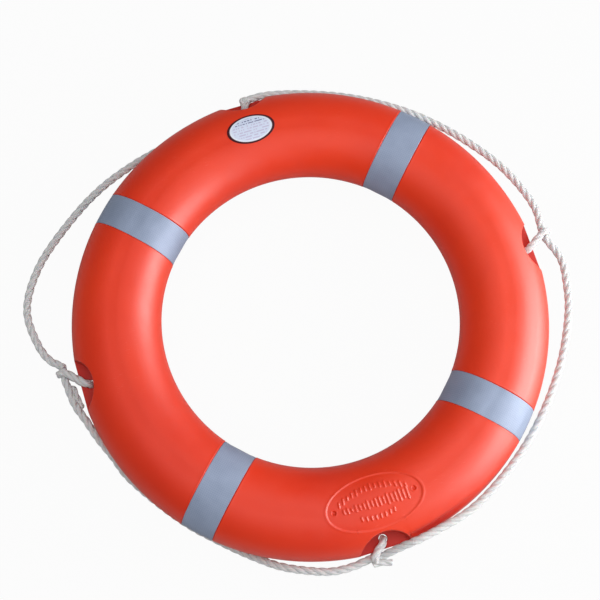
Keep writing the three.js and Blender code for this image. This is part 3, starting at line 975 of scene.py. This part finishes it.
def rope_material():
    """White laid polypropylene: yarns that run across each strand, and darker in the valleys between the
    strands.
    """
    g = Graph("grab_line")
    uv = g.uv()
    parts = g.node("ShaderNodeSeparateXYZ", {0: uv})
    run, around = parts.outputs[0], parts.outputs[1]
    yarn = g.math("ADD", g.math("MULTIPLY", run, 420.0), g.math("MULTIPLY", around, 62.0))
    yarn = g.math("SINE", yarn)
    fibre = g.node("ShaderNodeCombineXYZ", {0: g.math("MULTIPLY", run, 60.0),
                                            1: g.math("MULTIPLY", around, 90.0), 2: 0.0})
    fuzz = g.noise(fibre.outputs[0], 4.0, 3.0, 0.7)
    height = g.math("ADD", g.math("MULTIPLY", yarn, 0.5), fuzz)
    valley = g.math("COSINE", g.math("MULTIPLY", around, 6 * math.pi))
    # Darker towards the valleys between the strands.
    valley_darkening = g.remap(valley, 0.55, 1.0, 0.0, 0.4)
    stain = g.remap(g.noise(g.object_point(), 16.0, 4.0), 0.5, 0.75, 0.0, 0.25)
    colour = g.mix(valley_darkening, (0.64, 0.645, 0.65, 1), (0.42, 0.43, 0.45, 1))
    colour = g.mix(stain, colour, (0.55, 0.52, 0.47, 1))
    colour = g.mix(g.remap(fuzz, 0.35, 0.7, 0.12, 0.0), colour, (0.45, 0.45, 0.44, 1))
    normal = g.bump(height, 0.55, 0.0005)
    return g.finish(Base_Color=colour, Roughness=0.72, Normal=normal, Sheen_Weight=0.25,
                    Subsurface_Weight=0.08, Subsurface_Scale=0.003)


def label_material():
    """White oval print with a dark border and generic rows of dashes."""
    g = Graph("label_print")
    parts = g.node("ShaderNodeSeparateXYZ", {0: g.object_point()})
    x = g.math("SUBTRACT", g.math("MULTIPLY", parts.outputs[0], 1000.0), LABEL_CENTRE[0])
    y = g.math("SUBTRACT", g.math("MULTIPLY", parts.outputs[1], 1000.0), LABEL_CENTRE[1])
    ex = g.math("DIVIDE", x, LABEL_AXES[0])
    ey = g.math("DIVIDE", y, LABEL_AXES[1])
    edge = g.math("SQRT", g.math("ADD", g.math("MULTIPLY", ex, ex), g.math("MULTIPLY", ey, ey)))
    place = g.node("ShaderNodeCombineXYZ", {0: x, 1: y, 2: 0.0}).outputs[0]
    cell = g.node("ShaderNodeVectorMath", {0: place, 1: (1.7, 4.2, 1.0)}, operation="SNAP")
    word = g.node("ShaderNodeTexWhiteNoise", {"Vector": cell.outputs[0]}).outputs["Value"]
    row = g.math("SINE", g.math("MULTIPLY", y, 2 * math.pi / 4.2))
    ink = g.math("MULTIPLY", g.remap(row, 0.1, 0.3, 0.0, 1.0), g.math("GREATER_THAN", word, 0.35))
    ink = g.math("MULTIPLY", ink, g.remap(edge, 0.74, 0.78, 1.0, 0.0))
    heading = g.math("GREATER_THAN", y, 9.0)
    hue = g.mix(heading, (0.36, 0.2, 0.42, 1), (0.05, 0.06, 0.2, 1))
    ink = g.math("MULTIPLY", ink, g.math("ADD", 0.42, g.math("MULTIPLY", heading, 0.4)))
    colour = g.mix(ink, (0.62, 0.68, 0.83, 1), hue)
    colour = g.mix(g.remap(edge, 0.78, 0.88, 0.0, 1.0), colour, (0.74, 0.78, 0.86, 1))
    colour = g.mix(g.remap(edge, 0.88, 0.9, 0.0, 1.0), colour, (0.055, 0.006, 0.012, 1))
    rough = g.remap(g.noise(g.object_point(), 60.0), 0.3, 0.7, 0.28, 0.38)
    return g.finish(Base_Color=colour, Roughness=rough, Coat_Weight=0.2)


def foam_material():
    g = Graph("foam")
    point = g.object_point()
    pores = g.node("ShaderNodeTexVoronoi", {"Vector": point, "Scale": 700.0}).outputs["Distance"]
    colour = g.mix(g.noise(point, 12.0), (0.83, 0.76, 0.5, 1), (0.74, 0.64, 0.38, 1))
    return g.finish(Base_Color=colour, Roughness=0.9, Normal=g.bump(pores, 0.5, 0.0008))


def dress(obj, material, body, slot, *nodes):
    """Gives a piece its material and body, and hides the CAD nodes it stands for; the slot is not used."""
    obj.data.materials.clear()
    obj.data.materials.append(material)
    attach(obj, body)
    if nodes:
        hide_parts(*nodes)


# ---------------------------------------------------------------- stage


def floor_paint():
    """Pale floor paint that the camera sees a little brighter than the light alone makes it."""
    g = Graph("floor_paint")
    g.finish(Base_Color=(FLOOR_GREY, FLOOR_GREY, FLOOR_GREY, 1), Roughness=0.9)
    glow = g.node("ShaderNodeEmission", {"Color": (FLOOR_WHITE, FLOOR_WHITE, FLOOR_WHITE, 1)})
    seen = g.node("ShaderNodeMixShader", {0: FLOOR_GLOW, 1: g.bsdf.outputs[0], 2: glow.outputs[0]})
    by_camera = g.node("ShaderNodeLightPath").outputs["Is Camera Ray"]
    both = g.node("ShaderNodeMixShader", {0: by_camera, 1: g.bsdf.outputs[0], 2: seen.outputs[0]})
    g.put(g.nodes["Material Output"], "Surface", both.outputs[0])
    return g.material


def pale_stage():
    """A pale floor, below the ring and the swing of its line, in an evenly lit room."""
    mesh = bpy.data.meshes.new("floor")
    size, level = FLOOR_HALF, FLOOR_LEVEL * MM
    corners = [(-size, -size, level), (size, -size, level), (size, size, level), (-size, size, level)]
    mesh.from_pydata(corners, [], [(0, 1, 2, 3)])
    floor = bpy.data.objects.new("floor", mesh)
    bpy.context.scene.collection.objects.link(floor)
    mesh.materials.append(floor_paint())

    world = bpy.data.worlds.new("studio")
    bpy.context.scene.world = world
    world.use_nodes = True
    tree = world.node_tree
    background = tree.nodes["Background"]
    background.inputs["Color"].default_value = (1.0, 1.0, 1.0, 1.0)
    strength = tree.nodes.new("ShaderNodeMapRange")
    strength.inputs["To Min"].default_value = ROOM_LIGHT
    strength.inputs["To Max"].default_value = ROOM_REFLECTION
    glossy = tree.nodes.new("ShaderNodeLightPath").outputs["Is Glossy Ray"]
    tree.links.new(glossy, strength.inputs["Value"])
    tree.links.new(strength.outputs["Result"], background.inputs["Strength"])


def soft_light(name, place, size, power, sheen):
    """A soft light turned to the ring, with a power of its own for the sheen it gives."""
    for part, watts in (("glow", power), ("sheen", sheen)):
        data = bpy.data.lights.new(f"{name}_{part}", "AREA")
        data.shape = "RECTANGLE"
        data.size, data.size_y = size
        data.energy = watts
        light = bpy.data.objects.new(data.name, data)
        light.location = place
        light.rotation_mode = "QUATERNION"
        light.rotation_quaternion = (-Vector(place)).to_track_quat("-Z", "Y")
        light.visible_diffuse = part == "glow"
        light.visible_glossy = part == "sheen"
        bpy.context.scene.collection.objects.link(light)


def camera():
    """Looks down on the ring from 13 degrees off its axis, from the side of the oval panel."""
    place, up = Vector(CAMERA_PLACE), Vector(CAMERA_UP)
    data = bpy.data.cameras.new("camera")
    data.lens = LENS
    data.sensor_width = SENSOR
    data.clip_start = 0.01
    cam = bpy.data.objects.new("camera", data)
    forward = (Vector(CAMERA_TARGET) - place).normalized()
    right = forward.cross(up).normalized()
    true_up = right.cross(forward)
    matrix = cam.matrix_world.copy()
    for k, axis in enumerate((right, true_up, -forward)):
        for row in range(3):
            matrix[row][k] = axis[row]
    matrix.translation = place
    cam.matrix_world = matrix
    bpy.context.scene.collection.objects.link(cam)
    bpy.context.scene.camera = cam


# ---------------------------------------------------------------- assembly

shell_paint = plastic_material("shell_plastic", (0.68, 0.024, 0.001, 1), (0.78, 0.036, 0.002, 1), True)
plug_paint = plastic_material("plug_plastic", (0.61, 0.021, 0.001, 1), (0.70, 0.031, 0.002, 1))
tape_paint = tape_material()
rope_paint = rope_material()

dress(build_shell(True), shell_paint, "buoy", "shell", "shell_front")
dress(build_shell(False), shell_paint, "buoy", "shell", "shell_rear")
for tape_side in TAPE_ANGLES:
    dress(build_tape(tape_side), tape_paint, "buoy", "tape", f"reflective_tape_{tape_side}")
dress(build_label(), label_material(), "buoy", "label", "approval_label")
for plug_name in PLUG_ANGLES:
    dress(build_plug(plug_name), plug_paint, "buoy", "plug", plug_name)
for anchor_name in ANCHORS:
    for piece in build_hitch(anchor_name):
        dress(piece, rope_paint, "buoy", "line", f"line_hitch_{anchor_name}")
for span_side in SPANS:
    dress(build_span(span_side), rope_paint, f"span_{span_side}", "line", f"grab_line_{span_side}")
dress(spare_end(), rope_paint, "span_SW", "line", "grab_line_SW")

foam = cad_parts["foam_core"]
foam.data.materials.clear()
foam.data.materials.append(foam_material())

pale_stage()
for light_name, settings in LIGHTS.items():
    soft_light(light_name, *settings)
camera()
bpy.context.scene.view_settings.view_transform = "Standard"
